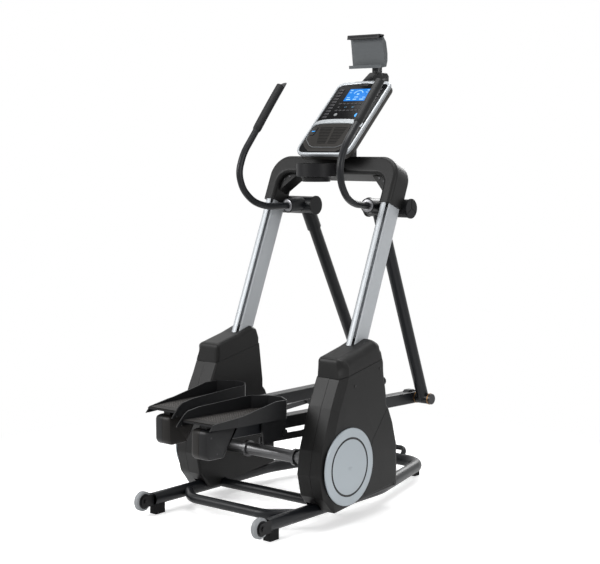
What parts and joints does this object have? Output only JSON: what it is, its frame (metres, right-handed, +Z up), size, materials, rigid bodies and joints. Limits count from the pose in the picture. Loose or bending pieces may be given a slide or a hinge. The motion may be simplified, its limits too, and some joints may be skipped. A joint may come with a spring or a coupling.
{
  "type": "elliptical trainer",
  "caption": "Home elliptical trainer: hanging swing arms carry level pedal beams over a cross shaft, with leaning uprights, side shrouds, a sloping console and a tablet holder.",
  "frame": {"origin": "on the floor under the middle of the bounding box", "axes": "+X forward, the way the user faces; +Y to the user's left; +Z up"},
  "size_m": [1.4971, 0.785, 1.9023],
  "materials": {
    "tube_black": "gloss powder coat",
    "silver": "satin silver paint",
    "disc_silver": "satin silver paint",
    "charcoal_plastic": "fine texture",
    "black_plastic": "satin",
    "face_plastic": "gloss",
    "screen": "backlit display",
    "tread_rubber": "dotted",
    "foot_rubber": "matte",
    "grip_foam": "fine foam",
    "wheel": "matte grey",
    "steel": "turned",
    "zinc": "black zinc",
    "bronze": "sintered bronze",
    "cast": "machined",
    "belt": "ribbed",
    "board": "solder mask"
  },
  "bodies": {
    "frame": {"arch_corner_plates": "charcoal_plastic", "arm_brackets": "silver", "base_rails": "tube_black", "circuit_board": "board", "console_face": "face_plastic", "console_housing": "black_plastic", "console_neck": "black_plastic", "console_screen": "screen", "console_tray": "black_plastic", "crank_bearings": "steel", "cross_tubes": "tube_black", "drive_belt": "belt", "drive_plates": "tube_black", "flywheel_axle": "steel", "frame_screws": "zinc", "front_loop": "tube_black", "left_shroud_inner": "charcoal_plastic", "left_shroud_outer": "charcoal_plastic", "lift_handle": "tube_black", "magnet_brake": "steel", "power_inlet": "black_plastic", "right_shroud_inner": "charcoal_plastic", "right_shroud_outer": "charcoal_plastic", "rubber_feet": "foot_rubber", "shroud_caps": "charcoal_plastic", "tablet_back": "charcoal_plastic", "tablet_stand": "black_plastic", "top_arch": "charcoal_plastic", "uprights": "silver", "wheel_axles": "zinc", "wheel_brackets": "black_plastic"},
    "right_arm": {"right_arm_hub": "tube_black", "right_leg_tube": "tube_black", "right_handle_tube": "tube_black", "right_grip": "grip_foam"},
    "right_beam_body": {"right_beam": "tube_black", "right_pivot_pins": "zinc", "right_pivot_washers": "bronze", "right_pod_cover": "charcoal_plastic"},
    "right_pedal_body": {"right_pedal": "charcoal_plastic", "right_tread": "tread_rubber"},
    "right_tie_body": {"right_tie_bar": "zinc"},
    "right_wheel_body": {"right_wheel": "wheel"},
    "left_arm": {"left_arm_hub": "tube_black", "left_leg_tube": "tube_black", "left_handle_tube": "tube_black", "left_grip": "grip_foam"},
    "left_beam_body": {"left_beam": "tube_black", "left_pivot_pins": "zinc", "left_pivot_washers": "bronze", "left_pod_cover": "charcoal_plastic"},
    "left_pedal_body": {"left_pedal": "charcoal_plastic", "left_tread": "tread_rubber"},
    "left_tie_body": {"left_tie_bar": "zinc"},
    "left_wheel_body": {"left_wheel": "wheel"},
    "crank": {"crank_shaft": "steel", "side_discs": "disc_silver", "drive_pulley": "black_plastic"},
    "flywheel_body": {"flywheel": "cast"},
    "jaw_body": {"tablet_jaw": "black_plastic"}
  },
  "joints": [
    {"name": "right_arm_swing", "type": "hinge", "parent": "frame", "child": "right_arm", "pos_m": [0.2994, 0, 1.189], "axis": [0, -1, 0], "range_deg": [-9.7, 16]},
    {"name": "left_arm_swing", "type": "hinge", "parent": "frame", "child": "left_arm", "pos_m": [0.2994, 0, 1.189], "axis": [0, -1, 0], "range_deg": [-16, 9.7]},
    {"name": "right_beam_pivot", "type": "hinge", "parent": "right_arm", "child": "right_beam_body", "pos_m": [0.63254, 0, 0.35185], "axis": [0, -1, 0], "range_deg": [-16, 9.7]},
    {"name": "right_pedal_tilt", "type": "hinge", "parent": "right_beam_body", "child": "right_pedal_body", "pos_m": [-0.28405, 0, 0.34924], "axis": [0, 1, 0], "range_deg": [0, 6]},
    {"name": "right_tie_pivot", "type": "hinge", "parent": "right_beam_body", "child": "right_tie_body", "pos_m": [0.22644, 0, 0.3253], "axis": [0, 1, 0], "range_deg": [0, 1]},
    {"name": "right_wheel_spin", "type": "hinge", "parent": "frame", "child": "right_wheel_body", "pos_m": [-0.5756, 0, 0.06], "axis": [0, 1, 0], "continuous": true},
    {"name": "left_beam_pivot", "type": "hinge", "parent": "left_arm", "child": "left_beam_body", "pos_m": [0.72239, 0, 0.39346], "axis": [0, -1, 0], "range_deg": [-9.7, 16]},
    {"name": "left_pedal_tilt", "type": "hinge", "parent": "left_beam_body", "child": "left_pedal_body", "pos_m": [-0.19377, 0, 0.36526], "axis": [0, 1, 0], "range_deg": [0, 6]},
    {"name": "left_tie_pivot", "type": "hinge", "parent": "left_beam_body", "child": "left_tie_body", "pos_m": [0.31719, 0, 0.35558], "axis": [0, 1, 0], "range_deg": [0, 1]},
    {"name": "left_wheel_spin", "type": "hinge", "parent": "frame", "child": "left_wheel_body", "pos_m": [-0.5756, 0, 0.06], "axis": [0, 1, 0], "continuous": true},
    {"name": "crank_spin", "type": "hinge", "parent": "frame", "child": "crank", "pos_m": [-0.1526, 0, 0.2225], "axis": [0, 1, 0], "continuous": true},
    {"name": "flywheel_spin", "type": "hinge", "parent": "frame", "child": "flywheel_body", "pos_m": [0.0524, 0, 0.2225], "axis": [0, 1, 0], "continuous": true},
    {"name": "jaw_slide", "type": "slide", "parent": "frame", "child": "jaw_body", "axis": [-0.1392, 0, 0.9903], "range_m": [0, 0.045], "stiffness_N_per_m": 150, "springref_m": -0.02}
  ],
  "couplings": [
    {"joint": "left_arm_swing", "follows": "right_arm_swing", "ratio": -1},
    {"joint": "right_beam_pivot", "follows": "right_arm_swing", "ratio": -1},
    {"joint": "left_beam_pivot", "follows": "right_arm_swing", "ratio": 1},
    {"joint": "right_tie_pivot", "follows": "right_pedal_tilt", "ratio": 0.165},
    {"joint": "left_tie_pivot", "follows": "left_pedal_tilt", "ratio": 0.165},
    {"joint": "flywheel_spin", "follows": "crank_spin", "ratio": 4.5}
  ]
}
